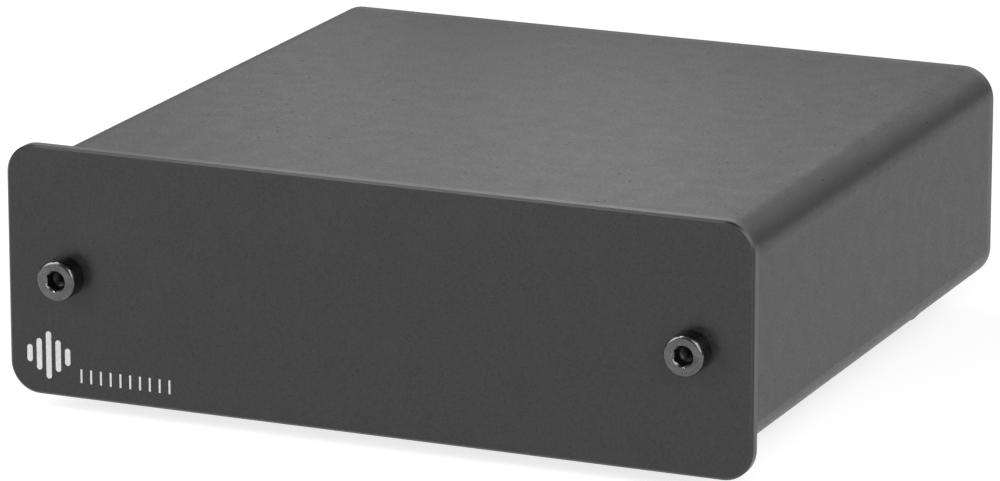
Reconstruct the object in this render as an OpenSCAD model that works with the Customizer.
// Small phono preamp: a flat front plate and a rear plate screwed to the two ends
// of an extruded sleeve, with one circuit board that carries all the rear sockets.
// Millimetres. +X is to the right of someone who faces the front plate, the front
// faces -Y, +Z is up. The origin is on the table, under the middle of the object.

/* [Sleeve] */
// Outside width of the sleeve
sleeve_w = 102.3; // [100:0.1:140]
// Outside height of the sleeve
sleeve_h = 30.6; // [29:0.1:45]
// Length of the sleeve from plate to plate
sleeve_l = 96.3; // [92:0.1:160]
// Outside radius of the sleeve's long edges
sleeve_r = 4.5; // [3:0.1:7]
// Wall thickness of the sleeve
wall = 1.6; // [1.2:0.1:2.2]
// Distance from the sleeve's side to the middle of each screw channel
channel_inset = 6.2; // [5.5:0.1:8]
// Outside diameter of a screw channel
channel_d = 6; // [5:0.1:7]
// Width of the slit that leaves each screw channel open along its length
channel_slit = 1.4; // [0.6:0.1:2]
// How far the guides of the circuit board stand out from the wall
guide_reach = 2.2; // [1.2:0.1:3]
// Thickness of each guide
guide_t = 1.2; // [0.8:0.1:2]

/* [Front plate] */
// How far the front plate stands out past each side of the sleeve
side_lip = 2.35; // [0.5:0.05:6]
// How far the front plate stands out past the top and the bottom of the sleeve
top_lip = 1.95; // [0.5:0.05:4]
// Thickness of the front plate
plate_t = 1.5; // [1:0.1:4]
// Corner radius of the front plate
plate_r = 4.2; // [2:0.1:8]
// Chamfer round the front edge of the front plate
edge_break = 0.3; // [0.1:0.05:0.5]

/* [Rear plate] */
// Thickness of the rear plate
rear_t = 1.5; // [1:0.1:2]

/* [Screws] */
// Thread diameter of the plate screws
screw_d = 3; // [2.5:0.1:3.6]
// Diameter of a socket cap head
head_d = 5.6; // [5:0.1:6.6]
// Height of a socket cap head
head_h = 3; // [2.5:0.1:3.5]
// Hex key size of a socket cap head
hex_af = 2.5; // [2:0.1:3]
// Length of the thread under a socket cap head
screw_l = 10; // [6:1:16]
// Height of the screw line above the middle of the sleeve
screw_rise = -0.4; // [-1:0.1:1]
// Clearance round a screw in a plate
plate_hole_gap = 0.2; // [0.1:0.05:0.4]

/* [Feet] */
// Height of a rubber foot
foot_h = 4.2; // [3:0.1:10]
// Diameter of a foot where it is stuck to the sleeve
foot_d = 12; // [9:0.5:16]
// Taper of a foot, as the difference of its two diameters
foot_taper = 1.2; // [0:0.1:3]
// Distance from the sleeve's side to the middle of a foot
foot_side_inset = 12.4; // [9:0.1:20]
// Distance from the front end of the sleeve to the middle of a front foot
foot_front_inset = 20; // [9:0.5:30]
// Distance from the rear end of the sleeve to the middle of a rear foot
foot_rear_inset = 9; // [8:0.5:30]

/* [Circuit board] */
// Thickness of the circuit board
board_t = 1.6; // [1:0.1:2]
// Length of the circuit board
board_l = 88; // [84:1:90]
// Height of the board's underside above the floor of the sleeve
board_rise = 3.5; // [3:0.1:5]
// Gap between the rear edge of the board and the rear plate
board_end_gap = 0.5; // [0.3:0.1:1]

/* [Phono sockets] */
// Distance between the two sockets of a pair
socket_pitch = 13.5; // [13:0.1:16.2]
// Middle of the input pair, from the middle of the rear plate
input_x = 27.5; // [27:0.1:28]
// Middle of the output pair, from the middle of the rear plate
output_x = -9; // [-9.5:0.1:-8.5]
// Outside diameter of a socket's contact shell
shell_d = 8.3; // [7:0.05:10]
// How far a shell stands out of its collar
shell_out = 8.8; // [7:0.1:10]
// Diameter of the hole for the centre pin of a plug
plug_hole_d = 3.3; // [2.75:0.05:4]
// Wall of the moulded collar round a shell
collar_wall = 0.7; // [0.5:0.05:0.9]
// How far a collar stands out of the rear plate
collar_out = 0.9; // [0.3:0.1:2]

/* [Ground terminal] */
// Middle of the ground terminal, from the middle of the rear plate
ground_x = 9; // [8.5:0.1:9.5]
// Thread diameter of the ground stud
stud_d = 4; // [3:0.1:4.8]
// How far the stud stands out of the rear plate
stud_out = 14; // [12:0.5:16]
// Diameter of the knurled thumb nut
thumb_d = 9.4; // [7.8:0.1:11.3]
// Length of the thumb nut
thumb_l = 6; // [4:0.1:7.2]
// Number of knurls round the thumb nut
knurls = 30; // [20:2:40]

/* [Mode button] */
// Middle of the mode button, from the middle of the rear plate
button_x = -27; // [-28:0.1:-26.5]
// Diameter of the mode button
button_d = 6; // [5:0.1:7.2]
// How far the button stands out when it isn't pressed
button_out = 4; // [3:0.1:6]
// Travel of the mode button
button_travel = 2.5; // [1:0.1:3]

/* [Power inlet] */
// Middle of the power inlet, from the middle of the rear plate
inlet_x = -36.5; // [-37:0.1:-36.4]
// Diameter of the inlet's barrel hole
inlet_d = 6.3; // [5.2:0.1:7.6]
// Diameter of the inlet's centre pin
inlet_pin_d = 2; // [1.5:0.1:2.5]
// Depth of the barrel hole
inlet_depth = 9.5; // [8:0.5:11]

/* [Hidden] */
$fn = 64;

cut = 0.1;              // how far a cutter runs past a face
fit_gap = 0.02;         // radial gap of two round pieces that are fixed together
thread_gap = 0.03;      // radial gap of a screw in its tapped hole
run_gap = 0.06;         // radial gap of the thumb nut on its stud
slide_gap = 0.1;        // gap on each side of what slides in a housing

// Sleeve and plates
inner_w = sleeve_w - 2 * wall;
inner_h = sleeve_h - 2 * wall;
inner_r = sleeve_r - wall;
plate_w = sleeve_w + 2 * side_lip;
plate_h = sleeve_h + 2 * top_lip;
mid_z = foot_h + sleeve_h / 2;
screw_x = sleeve_w / 2 - channel_inset;
screw_z = mid_z + screw_rise;
web_l = channel_inset - wall / 2;
head_fillet = 0.5;
drill_point = 0.6;                  // depth of the cone under a hexagon socket

// Places along Y: the box of the whole object is centred on the origin
whole_l = head_h + plate_t + sleeve_l + rear_t + stud_out;
plate_y = head_h - whole_l / 2;     // front face of the front plate
sleeve_y = plate_y + plate_t;       // front end of the sleeve
rear_y = sleeve_y + sleeve_l;       // rear end of the sleeve
back_y = rear_y + rear_t;           // outer face of the rear plate

// Circuit board
board_z = foot_h + wall + board_rise;
board_top = board_z + board_t;
board_edge = rear_y - board_end_gap;
board_side_gap = 0.3;
guide_gap = 0.1;
board_w = inner_w - 2 * board_side_gap;
lead_r = 0.3;
lead_bend = 0.7;                    // bend radius of a lying part's lead
lead_tail = 1.4;                    // how far a lead comes out under the board
drill_r = 0.45;

// Phono sockets, whose axes lie on the middle line of the sleeve
socket_z = mid_z;
housing_l = 10;
lug_w = 7.6;
lug_rise = 6.6;                     // from the socket axis to the housing screw
lug_r = lug_w / 2;
shell_wall = 0.7;
shell_foot_d = shell_d + 0.7;       // diameter of a shell inside its housing
collar_d = shell_foot_d + 2 * collar_wall;
housing_w = socket_pitch + shell_foot_d + 2;
housing_top = shell_foot_d / 2 + 1.4;   // from the socket axis to the top of the housing
shell_tip = back_y + collar_out + shell_out;
face_inset = 1;                     // insulator face behind the shell's tip
contact_wall = 0.55;
contact_d = plug_hole_d + 2 * contact_wall;
contact_depth = 9.5;                // depth of the plug's hole in the contact
contact_inset = 6.4;                // contact behind the insulator's face
tail_gap = 2.5;                     // contact tails behind the housing
peg_r = 0.9;
tapping_d = 3;                      // self-tapping screws of the housings
tapping_head_d = 5.4;
tapping_head_h = 2;
tapping_l = 8;
CHANNELS = [-1, 1];                 // the right socket of a pair, then the left

// Ground terminal
ground_z = mid_z;
nut_af = 7;
lock_nut_h = 2.2;
clamp_washer_d = 9;
clamp_washer_t = 0.8;
tag_t = 0.5;
stud_head_h = 2.4;
wire_r = 0.6;
wire_reach = 4;

// Mode switch
switch_w = 8;
switch_h = 9.4;
switch_l = 13;
switch_z = board_top + switch_h / 2 + 0.3;
switch_y = rear_y - 6.6;            // face of the switch housing
plunger_a = 3;
plunger_in = 6;                     // plunger inside the housing when it isn't pressed
cap_in = 3.2;                       // length of the button behind the rear plate
cap_grip = 2.8;                     // length of the plunger inside the button

// Power inlet
inlet_w = inlet_d + 2.7;
inlet_h = inlet_d + 4.7;
inlet_l = 14;
inlet_proud = 0.3;
inlet_z = board_top + 6.5;
inlet_face = back_y + inlet_proud;
inlet_flange = 3.4;
inlet_step = 0.6;
inlet_pin_inset = 1.2;
inlet_pin_foot_d = 3;
inlet_pin_foot_back = 1.5;          // pin's foot behind the housing
inlet_lead_back = 0.8;              // pin's lead behind the housing
cutout_gap = 0.15;

// Places on the board: x from the middle, then the distance from the rear edge
function at(x, back) = [x, board_edge - back];
FILTER_PLACES = [for (i = [0, 1], j = [0, 1]) at(-34 + 13 * i, 36 + 13 * j)];
COUPLING_PLACES = [for (i = [0, 1], j = [0:2]) at(-4 + 38 * i, 27 + 9 * j)];
FILM_PLACES = [for (i = [0:2], j = [0, 1]) at(6 + 8 * i, 62 + 11 * j)];
AMP_PLACES = [at(10, 30), at(10, 48)];
RESISTOR_PLACES = [for (j = [0:5]) at(24, 22 + 4 * j), for (j = [0:5]) at(38, 54 + 4 * j),
                   for (j = [0:3]) at(-12, 64 + 4 * j)];
DIODE_PLACES = [for (j = [0:3]) at(-30, 64 + 4.5 * j)];
TRANSISTOR_PLACES = [for (i = [0, 1], j = [0, 1]) at(20 + 8 * i, 48 + 7 * j)];
REGULATOR_PLACES = [at(-34, 24), at(-19, 24)];

// Lead spacings
axial_span = 10.16;
filter_d = 10;
filter_h = 16;
filter_span = 5;
coupling_d = 6.3;
coupling_h = 11;
coupling_span = 2.5;
film_box = [7.2, 4.5, 6.5];
film_span = 5;
dip_pitch = 2.54;
dip_row = 7.62;

function pair(places, span) = [for (p = places, s = [-1, 1]) [p.x + s * span / 2, p.y]];
function row(places, count, pitch) =
    [for (p = places, i = [0 : count - 1]) [p.x + (i - (count - 1) / 2) * pitch, p.y]];
AMP_LEADS = [for (p = AMP_PLACES, s = [-1, 1], i = [0:3])
             [p.x + (i - 1.5) * dip_pitch, p.y + s * dip_row / 2]];
SWITCH_LEADS = [for (s = [-1, 1], i = [0:2])
                [button_x + s * 2.5, switch_y - 3.5 - 3 * i]];
INLET_LEADS = [[inlet_x, inlet_face - inlet_l - inlet_lead_back],
               [inlet_x, inlet_face - inlet_l + 5]];
SOCKET_XS = [for (x = [input_x, output_x], s = CHANNELS) x + s * socket_pitch / 2];
shell_tail_y = rear_y - housing_l - 0.25;
contact_tail_y = rear_y - housing_l - tail_gap;
GROUND_LEADS = [[ground_x, rear_y - tag_t - wire_reach]];

// ---- helpers -------------------------------------------------------------

// Extrudes a profile drawn in X and Z along Y
module along_y(y, length) {
    translate([0, y + length, 0])
        rotate([90, 0, 0])
            linear_extrude(length)
                children();
}

// Turns a profile drawn as radius and distance round an axis along +Y
module lathe_y(place) {
    translate(place)
        rotate([-90, 0, 0])
            rotate_extrude()
                children();
}

// Turns a profile drawn as radius and distance round an axis along +X
module lathe_x(place) {
    translate(place)
        rotate([0, 90, 0])
            rotate_extrude()
                children();
}

module rod_y(x, y, z, r, length) {
    translate([x, y, z])
        rotate([-90, 0, 0])
            cylinder(r = r, h = length);
}

module rounded_rect(w, h, r) {
    square([w, h - 2 * r], center = true);
    square([w - 2 * r, h], center = true);
    for (x = [-1, 1], y = [-1, 1])
        translate([x * (w / 2 - r), y * (h / 2 - r)])
            circle(r);
}

// Half profile of a round bar of radius r and length l with a fillet f at its far end
module filleted_bar(r, l, f) {
    square([r - f, l]);
    square([r, l - f]);
    translate([r - f, l - f])
        intersection() {
            circle(f);
            square(f);
        }
}

// Straight leads through the board, at a list of places
module leads(places, top, r = lead_r) {
    for (p = places)
        translate([p.x, p.y, board_z - lead_tail])
            cylinder(r = r, h = top - board_z + lead_tail, $fn = 24);
}

module drill(places, r) {
    for (p = places)
        translate([p.x, p.y, board_z - cut])
            cylinder(r = r, h = board_t + 2 * cut, $fn = 24);
}

// ---- enclosure -----------------------------------------------------------

module sleeve_profile() {
    difference() {
        union() {
            difference() {
                rounded_rect(sleeve_w, sleeve_h, sleeve_r);
                rounded_rect(inner_w, inner_h, inner_r);
            }
            for (side = [-1, 1]) {
                // Screw channel and the web that ties it to the wall
                translate([side * screw_x, screw_rise])
                    circle(d = channel_d);
                translate([side * (screw_x + web_l / 2), screw_rise])
                    square([web_l, channel_d / 2], center = true);
                // Two guides on the wall, which hold the edge of the board
                for (z = [board_z - guide_t / 2, board_top + guide_gap + guide_t / 2])
                    translate([side * (inner_w + wall - guide_reach) / 2, z - mid_z])
                        square([guide_reach + wall, guide_t], center = true);
            }
        }
        for (side = [-1, 1]) {
            translate([side * screw_x, screw_rise])
                circle(d = screw_d);
            translate([side * (screw_x - channel_d / 2), screw_rise])
                square([channel_d, channel_slit], center = true);
        }
    }
}

module enclosure_sleeve() {
    color("dimgray")
        translate([0, 0, mid_z])
            along_y(sleeve_y, sleeve_l)
                sleeve_profile();
}

// Section through the front plate, with its front face on y = 0
module plate_section(span) {
    polygon([[edge_break - span / 2, 0], [span / 2 - edge_break, 0], [span / 2, edge_break],
             [span / 2, plate_t], [-span / 2, plate_t], [-span / 2, edge_break]]);
}

// A plate with round corners and a chamfer round its front edge
module chamfered_plate(w, h, r) {
    linear_extrude(h - 2 * r, center = true)
        plate_section(w);
    rotate([0, -90, 0])
        linear_extrude(w - 2 * r, center = true)
            plate_section(h);
    for (x = [-1, 1], z = [-1, 1])
        lathe_y([x * (w / 2 - r), 0, z * (h / 2 - r)])
            polygon([[0, 0], [r - edge_break, 0], [r, edge_break], [r, plate_t], [0, plate_t]]);
}

module front_plate() {
    color("dimgray")
        difference() {
            translate([0, plate_y, mid_z])
                chamfered_plate(plate_w, plate_h, plate_r);
            for (side = [-1, 1])
                rod_y(side * screw_x, plate_y - cut, screw_z, screw_d / 2 + plate_hole_gap,
                      plate_t + 2 * cut);
        }
}

module rear_plate() {
    color("dimgray")
        along_y(rear_y, rear_t)
            difference() {
                translate([0, mid_z])
                    rounded_rect(sleeve_w, sleeve_h, sleeve_r);
                for (side = [-1, 1])
                    translate([side * screw_x, screw_z])
                        circle(r = screw_d / 2 + plate_hole_gap);
                for (x = SOCKET_XS)
                    translate([x, socket_z])
                        circle(d = collar_d + 2 * cutout_gap);
                for (x = [input_x, output_x])
                    translate([x, socket_z + lug_rise])
                        circle(r = tapping_d / 2 + plate_hole_gap);
                translate([ground_x, ground_z])
                    circle(r = stud_d / 2 + plate_hole_gap);
                translate([button_x, switch_z])
                    circle(r = button_d / 2 + 3 * slide_gap);
                translate([inlet_x - inlet_w / 2 - cutout_gap, inlet_z - inlet_h / 2 - cutout_gap])
                    square([inlet_w + 2 * cutout_gap, inlet_h + 2 * cutout_gap]);
            }
}

// Socket cap screw whose head seats on y = 0 and lies on the -Y side
module cap_screw() {
    difference() {
        union() {
            rotate([0, 0, 180])
                lathe_y([0, 0, 0])
                    filleted_bar(head_d / 2, head_h, head_fillet);
            rod_y(0, 0, 0, screw_d / 2 - thread_gap, screw_l);
        }
        translate([0, -head_h - cut, 0])
            rotate([-90, 0, 0]) {
                rotate([0, 0, 30])
                    cylinder(d = hex_af / cos(30), h = head_h / 2 + cut, $fn = 6);
                // Chamfer at the mouth, and the point that the drill left at the bottom
                cylinder(r1 = hex_af / 2 + 0.35, r2 = hex_af / 2 - 0.05, h = 0.3 + cut);
                translate([0, 0, head_h / 2])
                    cylinder(r1 = hex_af / 2 - 0.1, r2 = 0, h = drill_point + cut);
            }
    }
}

module front_screws() {
    color("black")
        for (side = [-1, 1])
            translate([side * screw_x, plate_y, screw_z])
                cap_screw();
}

module rear_screws() {
    color("black")
        for (side = [-1, 1])
            translate([side * screw_x, back_y, screw_z])
                rotate([0, 0, 180])
                    cap_screw();
}

module rubber_feet() {
    foot_r = foot_d / 2;
    bottom_r = foot_r - foot_taper / 2;
    color("black")
        for (side = [-1, 1], y = [sleeve_y + foot_front_inset, rear_y - foot_rear_inset])
            translate([side * (sleeve_w / 2 - foot_side_inset), y, 0])
                rotate_extrude()
                    polygon([[0, 0.8], [1.6, 0.8], [2, 0], [bottom_r - 0.6, 0], [bottom_r, 0.6],
                             [foot_r, foot_h - 0.6], [foot_r, foot_h], [0, foot_h]]);
}

// ---- phono sockets -------------------------------------------------------

module socket_housing(x) {
    color([0.12, 0.12, 0.12])
        difference() {
            union() {
                along_y(rear_y - housing_l, housing_l)
                    translate([x, 0]) {
                        translate([-housing_w / 2, board_top])
                            square([housing_w, socket_z + housing_top - board_top]);
                        translate([-lug_r, board_top])
                            square([lug_w, socket_z + lug_rise - board_top]);
                        translate([0, socket_z + lug_rise])
                            circle(lug_r);
                    }
                for (s = CHANNELS)
                    rod_y(x + s * socket_pitch / 2, rear_y, socket_z, collar_d / 2, rear_t + collar_out);
                // Pegs that locate the housing on the board
                for (s = CHANNELS)
                    translate([x + s * (housing_w / 2 - 2), rear_y - housing_l / 2, board_z])
                        cylinder(r = peg_r, h = board_t + cut);
            }
            for (s = CHANNELS)
                rod_y(x + s * socket_pitch / 2, rear_y - housing_l - cut, socket_z,
                      shell_foot_d / 2 + fit_gap, housing_l + rear_t + collar_out + 2 * cut);
            rod_y(x, rear_y - tapping_l, socket_z + lug_rise, tapping_d / 2, tapping_l + cut);
            // Core that keeps the moulding's walls even, open at its back
            translate([x - 0.9, rear_y - housing_l - cut, board_top + 2])
                cube([1.8, housing_l - 2, socket_z - board_top]);
        }
}

// Contact shell: a turned tube with a wider foot in the housing and a tail to the board
module socket_shell(x) {
    foot_r = shell_foot_d / 2;
    tip_r = shell_d / 2;
    hole_r = tip_r - shell_wall;
    foot_end = housing_l + rear_t + collar_out;
    color("gold") {
        lathe_y([x, rear_y - housing_l, socket_z])
            polygon([[hole_r, 0], [foot_r, 0], [foot_r, foot_end], [tip_r, foot_end],
                     [tip_r, foot_end + shell_out - 0.3], [tip_r - 0.3, foot_end + shell_out],
                     [hole_r, foot_end + shell_out]]);
        difference() {
            union() {
                rod_y(x, rear_y - housing_l - 0.5, socket_z, foot_r, 0.5);
                translate([x - 1.2, rear_y - housing_l - 0.5, board_top])
                    cube([2.4, 0.5, socket_z - board_top - hole_r]);
            }
            rod_y(x, rear_y - housing_l - 0.5 - cut, socket_z, hole_r, 0.5 + 2 * cut);
        }
        translate([x - 0.6, rear_y - housing_l - 0.5, board_z - lead_tail])
            cube([1.2, 0.5, board_t + lead_tail + cut]);
    }
}

// Insulator: fills the shell and guides the plug's centre pin
module socket_insulator(x) {
    body_r = shell_d / 2 - shell_wall - fit_gap;
    length = shell_tip - face_inset - (rear_y - housing_l);
    plug_r = plug_hole_d / 2;
    pocket_r = contact_d / 2 + fit_gap;
    lathe_y([x, rear_y - housing_l, socket_z])
        polygon([[pocket_r, 0], [body_r, 0], [body_r, length - 0.2], [body_r - 0.2, length],
                 [plug_r + 0.4, length], [plug_r, length - 0.4],
                 [plug_r, length - contact_inset], [pocket_r, length - contact_inset]]);
}

// Centre contact: a slotted tube with a tail to the board
module centre_contact(x) {
    contact_front = shell_tip - face_inset - contact_inset;
    contact_back = contact_tail_y - 0.5;
    length = contact_front - contact_back;
    color("gold") {
        difference() {
            rod_y(x, contact_back, socket_z, contact_d / 2, length);
            rod_y(x, contact_front - contact_depth, socket_z, plug_hole_d / 2, contact_depth + cut);
            translate([x - contact_d, contact_front - 6, socket_z - 0.25])
                cube([2 * contact_d, 6 + cut, 0.5]);
        }
        translate([x, contact_tail_y + 0.4, board_z - lead_tail])
            cylinder(r = 0.5, h = socket_z - board_z + lead_tail, $fn = 24);
    }
}

// Pan head self-tapping screw with a cross recess, its head seated on y = 0
module tapping_screw() {
    difference() {
        union() {
            lathe_y([0, 0, 0])
                filleted_bar(tapping_head_d / 2, tapping_head_h, 0.8);
            rod_y(0, -tapping_l, 0, tapping_d / 2 - thread_gap, tapping_l);
        }
        for (turn = [0, 90])
            rotate([0, turn, 0])
                translate([-1.5, tapping_head_h - 1.1, -0.3])
                    cube([3, 1.1 + cut, 0.6]);
    }
}

module input_socket_housing() { socket_housing(input_x); }
module output_socket_housing() { socket_housing(output_x); }

module input_socket_shells() {
    for (s = CHANNELS) socket_shell(input_x + s * socket_pitch / 2);
}

module output_socket_shells() {
    for (s = CHANNELS) socket_shell(output_x + s * socket_pitch / 2);
}

module left_channel_insulators() {
    color("white")
        for (x = [input_x, output_x]) socket_insulator(x + socket_pitch / 2);
}

module right_channel_insulators() {
    color("red")
        for (x = [input_x, output_x]) socket_insulator(x - socket_pitch / 2);
}

module input_centre_contacts() {
    for (s = CHANNELS) centre_contact(input_x + s * socket_pitch / 2);
}

module output_centre_contacts() {
    for (s = CHANNELS) centre_contact(output_x + s * socket_pitch / 2);
}

module socket_housing_screws() {
    color("black")
        for (x = [input_x, output_x])
            translate([x, back_y, socket_z + lug_rise])
                tapping_screw();
}

// ---- ground terminal -----------------------------------------------------

module hex_bar_y(x, y, z, af, length) {
    translate([x, y, z])
        rotate([-90, 0, 0])
            cylinder(d = af / cos(30), h = length, $fn = 6);
}

module ground_stud() {
    stud_r = stud_d / 2 - thread_gap;
    color("gold") {
        hex_bar_y(ground_x, rear_y - tag_t - stud_head_h, ground_z, nut_af, stud_head_h);
        lathe_y([ground_x, rear_y - tag_t, ground_z])
            polygon([[0, -cut], [stud_r, -cut], [stud_r, tag_t + rear_t + stud_out - 0.4],
                     [stud_r - 0.4, tag_t + rear_t + stud_out], [0, tag_t + rear_t + stud_out]]);
    }
}

// Solder tag: a ring under the stud's head with a tail that takes the wire
module ground_solder_tag() {
    tail_w = 3;
    tail_l = 6.4;
    color("silver")
        along_y(rear_y - tag_t, tag_t)
            translate([ground_x, ground_z])
                difference() {
                    union() {
                        circle(d = nut_af);
                        translate([-tail_w / 2, -tail_l])
                            square([tail_w, tail_l]);
                        translate([0, -tail_l])
                            circle(d = tail_w);
                    }
                    circle(r = stud_d / 2 + plate_hole_gap);
                    translate([0, -tail_l])
                        circle(r = wire_r + fit_gap);
                }
}

module ground_lock_nut() {
    color("gold")
        difference() {
            intersection() {
                hex_bar_y(ground_x, back_y, ground_z, nut_af, lock_nut_h);
                lathe_y([ground_x, back_y, ground_z])
                    polygon([[0, 0], [nut_af * 0.5774, 0], [nut_af * 0.5774, lock_nut_h - 0.4],
                             [nut_af / 2 - 0.2, lock_nut_h], [0, lock_nut_h]]);
            }
            rod_y(ground_x, back_y - cut, ground_z, stud_d / 2, lock_nut_h + 2 * cut);
        }
}

module ground_clamp_washer() {
    color("gold")
        lathe_y([ground_x, back_y + lock_nut_h, ground_z])
            polygon([[stud_d / 2 + run_gap, 0], [clamp_washer_d / 2, 0],
                     [clamp_washer_d / 2, clamp_washer_t - 0.15],
                     [clamp_washer_d / 2 - 0.15, clamp_washer_t],
                     [stud_d / 2 + run_gap, clamp_washer_t]]);
}

// Knurled thumb nut: a plain shoulder, then a knurled grip between two chamfers
module ground_thumb_nut() {
    grip_r = thumb_d / 2;
    groove = 0.35;
    crest = 0.2;        // the round bar cuts this much off the point of each knurl
    shoulder = 0.8;
    shoulder_r = grip_r - 0.9;
    hole_r = stud_d / 2 - thread_gap + run_gap;
    color("gold")
        difference() {
            intersection() {
                lathe_y([ground_x, back_y + lock_nut_h + clamp_washer_t, ground_z])
                    polygon([[0, 0], [shoulder_r, 0], [shoulder_r, shoulder],
                             [grip_r - 0.5, shoulder], [grip_r, shoulder + 0.5],
                             [grip_r, thumb_l - 0.6], [grip_r - 0.6, thumb_l], [0, thumb_l]]);
                translate([0, 0, ground_z])
                    along_y(back_y + lock_nut_h + clamp_washer_t - cut, thumb_l + 2 * cut)
                        translate([ground_x, 0])
                            polygon([for (i = [0 : 2 * knurls - 1])
                                     let (a = 180 * i / knurls, r = grip_r + (i % 2 == 0 ? crest : -groove))
                                     [r * cos(a), r * sin(a)]]);
            }
            rod_y(ground_x, back_y, ground_z, hole_r, lock_nut_h + clamp_washer_t + thumb_l + cut);
        }
}

module ground_wire() {
    wire_y = rear_y - tag_t - wire_reach;
    wire_z = ground_z - 6.4;
    color("green") {
        rod_y(ground_x, wire_y, wire_z, wire_r, wire_reach + tag_t);
        translate([ground_x, wire_y, wire_z])
            sphere(wire_r);
        translate([ground_x, wire_y, board_z - lead_tail])
            cylinder(r = wire_r, h = wire_z - board_z + lead_tail, $fn = 24);
    }
}

// ---- mode switch ---------------------------------------------------------

module mode_switch_housing() {
    pocket = plunger_a + 2 * slide_gap;
    color([0.15, 0.15, 0.15]) {
        difference() {
            translate([button_x - switch_w / 2, switch_y - switch_l, board_top])
                cube([switch_w, switch_l, switch_h + 0.3]);
            translate([button_x - pocket / 2, switch_y - plunger_in - button_travel - 0.8,
                       switch_z - pocket / 2])
                cube([pocket, plunger_in + button_travel + 0.8 + cut, pocket]);
        }
        leads(SWITCH_LEADS, board_top + cut);
    }
}

module mode_switch_plunger() {
    color("white")
        translate([button_x - plunger_a / 2, switch_y - plunger_in, switch_z - plunger_a / 2])
            cube([plunger_a, rear_y - cap_in + cap_grip - switch_y + plunger_in, plunger_a]);
}

// Round push button with a dished end, gripping the plunger
module mode_button() {
    button_r = button_d / 2;
    length = cap_in + rear_t + button_out;
    grip = plunger_a + 2 * fit_gap;
    color("black")
        difference() {
            lathe_y([button_x, rear_y - cap_in, switch_z])
                filleted_bar(button_r, length, 0.4);
            translate([button_x, rear_y - cap_in + length + 11.7, switch_z])
                sphere(12);
            translate([button_x - grip / 2, rear_y - cap_in - cut, switch_z - grip / 2])
                cube([grip, cap_grip + fit_gap + cut, grip]);
        }
}

// ---- power inlet ---------------------------------------------------------

module power_inlet_housing() {
    back = inlet_face - inlet_l;
    color([0.12, 0.12, 0.12])
        difference() {
            union() {
                translate([inlet_x - inlet_w / 2, inlet_face - inlet_flange, inlet_z - inlet_h / 2])
                    cube([inlet_w, inlet_flange, inlet_h]);
                translate([inlet_x - inlet_w / 2 + inlet_step, back, board_top])
                    cube([inlet_w - 2 * inlet_step, inlet_l - inlet_flange + cut, inlet_z - board_top]);
                rod_y(inlet_x, back, inlet_z, inlet_w / 2 - inlet_step, inlet_l - inlet_flange + cut);
            }
            rod_y(inlet_x, inlet_face - inlet_depth, inlet_z, inlet_d / 2, inlet_depth + cut);
            rod_y(inlet_x, back - cut, inlet_z, inlet_pin_foot_d / 2 + fit_gap, inlet_l);
            // Slot under the barrel hole for the sleeve contact
            translate([inlet_x - 1.2, back + 4.4, board_top - cut])
                cube([2.4, inlet_l - inlet_flange - 4.4, inlet_z - board_top - inlet_d / 2 + 0.7]);
        }
}

module power_inlet_pin() {
    pin_r = inlet_pin_d / 2;
    back = inlet_face - inlet_l;
    pin_tip = inlet_l - inlet_pin_inset;
    foot_end = inlet_l - inlet_depth;
    color("silver") {
        lathe_y([inlet_x, back, inlet_z])
            polygon([[0, -inlet_pin_foot_back], [inlet_pin_foot_d / 2, -inlet_pin_foot_back],
                     [inlet_pin_foot_d / 2, foot_end],
                     [pin_r, foot_end], [pin_r, pin_tip - 0.5], [pin_r - 0.5, pin_tip], [0, pin_tip]]);
        translate([inlet_x, back - inlet_lead_back, board_z - lead_tail])
            cylinder(r = 0.4, h = inlet_z - 0.6 - board_z + lead_tail, $fn = 24);
    }
}

// Leaf that presses on the outside of the plug's barrel
module power_inlet_spring() {
    leaf_z = inlet_z - inlet_d / 2 - 0.1;
    back = inlet_face - inlet_l + 5;
    color("silver") {
        translate([inlet_x - 1, back - 0.3, leaf_z])
            cube([2, inlet_l - inlet_flange - 5.6, 0.3]);
        translate([inlet_x, back, board_z - lead_tail])
            cylinder(r = 0.3, h = leaf_z + 0.15 - board_z + lead_tail, $fn = 24);
    }
}

// ---- circuit board and what is soldered to it ----------------------------

module circuit_board() {
    color("darkgreen")
        difference() {
            translate([-board_w / 2, board_edge - board_l, board_z])
                cube([board_w, board_l, board_t]);
            drill(concat(pair(FILTER_PLACES, filter_span), pair(COUPLING_PLACES, coupling_span),
                         pair(FILM_PLACES, film_span), pair(RESISTOR_PLACES, axial_span),
                         pair(DIODE_PLACES, axial_span), row(TRANSISTOR_PLACES, 3, 1.27),
                         row(REGULATOR_PLACES, 3, dip_pitch), AMP_LEADS, SWITCH_LEADS), drill_r);
            drill([for (x = SOCKET_XS) [x, shell_tail_y], for (x = SOCKET_XS) [x, contact_tail_y + 0.4],
                   for (p = INLET_LEADS) p, for (p = GROUND_LEADS) p], 0.75);
            drill([for (x = [input_x, output_x], s = CHANNELS)
                   [x + s * (housing_w / 2 - 2), rear_y - housing_l / 2]], peg_r + 0.05);
        }
}

module electrolytic(p, d, h) {
    r = d / 2;
    translate([p.x, p.y, board_top])
        rotate_extrude()
            polygon([[0, 0], [r - 0.3, 0], [r, 0.3], [r, 1.3], [r - 0.35, 1.6], [r - 0.35, 1.9],
                     [r, 2.2], [r, h - 0.5], [r - 0.5, h], [r - 0.9, h], [r - 0.9, h - 0.2], [0, h - 0.2]]);
}

module filter_capacitors() {
    color("navy") {
        for (p = FILTER_PLACES) electrolytic(p, filter_d, filter_h);
        leads(pair(FILTER_PLACES, filter_span), board_top + cut);
    }
}

module coupling_capacitors() {
    color("navy") {
        for (p = COUPLING_PLACES) electrolytic(p, coupling_d, coupling_h);
        leads(pair(COUPLING_PLACES, coupling_span), board_top + cut);
    }
}

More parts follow.
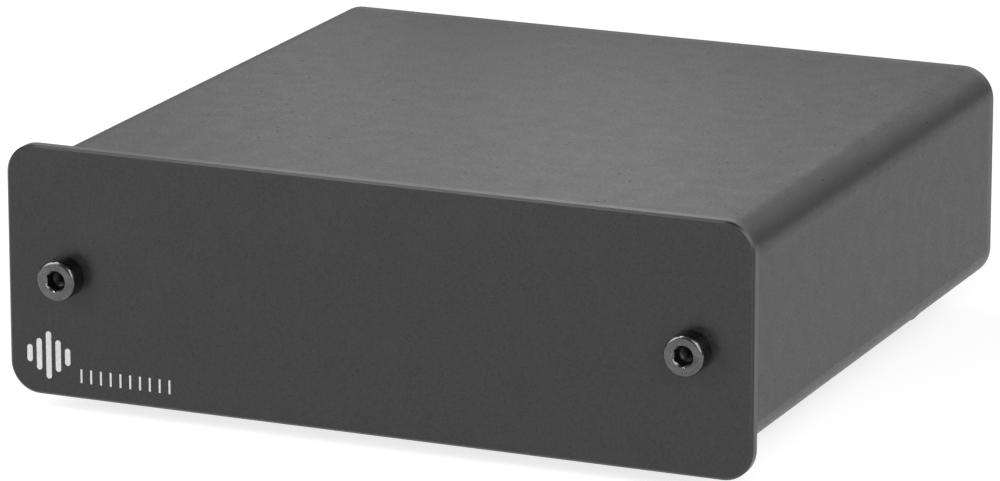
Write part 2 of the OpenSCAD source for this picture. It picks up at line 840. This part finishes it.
module film_capacitors() {
    color("firebrick") {
        for (p = FILM_PLACES)
            translate([p.x - film_box.x / 2, p.y - film_box.y / 2, board_top])
                cube(film_box);
        leads(pair(FILM_PLACES, film_span), board_top + cut);
    }
}

// Leads that leave both ends of a lying part and bend down through the board
module bent_leads(p, span, body_l, z) {
    run = span / 2 - body_l / 2 - lead_bend;
    for (s = [-1, 1])
        translate([p.x, p.y, z])
            rotate([0, 0, s > 0 ? 0 : 180]) {
                translate([body_l / 2 - cut, 0, 0])
                    rotate([0, 90, 0])
                        cylinder(r = lead_r, h = run + cut);
                translate([body_l / 2 + run, 0, -lead_bend])
                    rotate([90, 0, 0])
                        rotate_extrude(angle = 90)
                            translate([lead_bend, 0])
                                circle(lead_r);
            }
    leads(pair([p], span), z - lead_bend);
}

module resistors() {
    body_l = 6.3;
    cap_r = 1.15;
    color("tan")
        for (p = RESISTOR_PLACES) {
            lathe_x([p.x - body_l / 2, p.y, board_top + cap_r])
                polygon([[0, 0], [cap_r - 0.3, 0], [cap_r, 0.3], [cap_r, 1.4], [cap_r - 0.2, 1.7],
                         [cap_r - 0.2, body_l - 1.7], [cap_r, body_l - 1.4], [cap_r, body_l - 0.3],
                         [cap_r - 0.3, body_l], [0, body_l]]);
            bent_leads(p, axial_span, body_l, board_top + cap_r);
        }
}

module rectifier_diodes() {
    body_l = 5.2;
    body_r = 1.35;
    color("black")
        for (p = DIODE_PLACES) {
            lathe_x([p.x - body_l / 2, p.y, board_top + body_r])
                square([body_r, body_l]);
            bent_leads(p, axial_span, body_l, board_top + body_r);
        }
}

module transistors() {
    stand = 2;
    body_r = 2.3;
    flat = 1.3;
    color("black")
        for (p = TRANSISTOR_PLACES)
            translate([p.x, p.y, board_top + stand])
                linear_extrude(4.6)
                    intersection() {
                        circle(body_r);
                        translate([-body_r, -flat])
                            square([2 * body_r, body_r + flat]);
                    }
    color("silver")
        leads(row(TRANSISTOR_PLACES, 3, 1.27), board_top + stand + cut);
}

// Upright power regulator: moulded body on a metal tab, with three leads
module voltage_regulators() {
    stand = 3;
    color("black")
        for (p = REGULATOR_PLACES)
            translate([p.x, p.y, board_top + stand]) {
                translate([-5, -2.5, 0])
                    cube([10, 4, 9]);
                difference() {
                    translate([-5, 1.4, 0])
                        cube([10, 1.2, 15.4]);
                    translate([0, 1.4 - cut, 12.6])
                        rotate([-90, 0, 0])
                            cylinder(d = 3.7, h = 1.2 + 2 * cut);
                }
            }
    color("silver")
        leads(row(REGULATOR_PLACES, 3, dip_pitch), board_top + stand + cut);
}

module op_amp_sockets() {
    color("black") {
        for (p = AMP_PLACES)
            translate([p.x, p.y, board_top])
                difference() {
                    translate([-5.1, -5.1, 0])
                        cube([10.2, 10.2, 4]);
                    translate([-3.2, -2.4, -cut])
                        cube([6.4, 4.8, 4 + 2 * cut]);
                }
        leads(AMP_LEADS, board_top + cut);
    }
}

module op_amps() {
    color([0.1, 0.1, 0.1])
        for (p = AMP_PLACES)
            translate([p.x, p.y, board_top + 4]) {
                difference() {
                    translate([-4.8, -3.2, 0.4])
                        cube([9.6, 6.4, 3.3]);
                    translate([-4.8, 0, 3.7])
                        sphere(0.9);
                }
                // Legs that spring out of the body and stand on the socket
                for (s = [-1, 1], i = [0:3])
                    translate([(i - 1.5) * dip_pitch - 0.6, s > 0 ? 3.1 : -4.1, 0])
                        cube([1.2, 1, 2]);
            }
}

front_plate();
front_screws();
enclosure_sleeve();
rear_plate();
rear_screws();
rubber_feet();
circuit_board();
input_socket_housing();
output_socket_housing();
input_socket_shells();
output_socket_shells();
left_channel_insulators();
right_channel_insulators();
input_centre_contacts();
output_centre_contacts();
socket_housing_screws();
ground_stud();
ground_solder_tag();
ground_lock_nut();
ground_clamp_washer();
ground_thumb_nut();
ground_wire();
mode_switch_housing();
mode_switch_plunger();
mode_button();
power_inlet_housing();
power_inlet_pin();
power_inlet_spring();
op_amps();
op_amp_sockets();
filter_capacitors();
coupling_capacitors();
film_capacitors();
resistors();
rectifier_diodes();
transistors();
voltage_regulators();
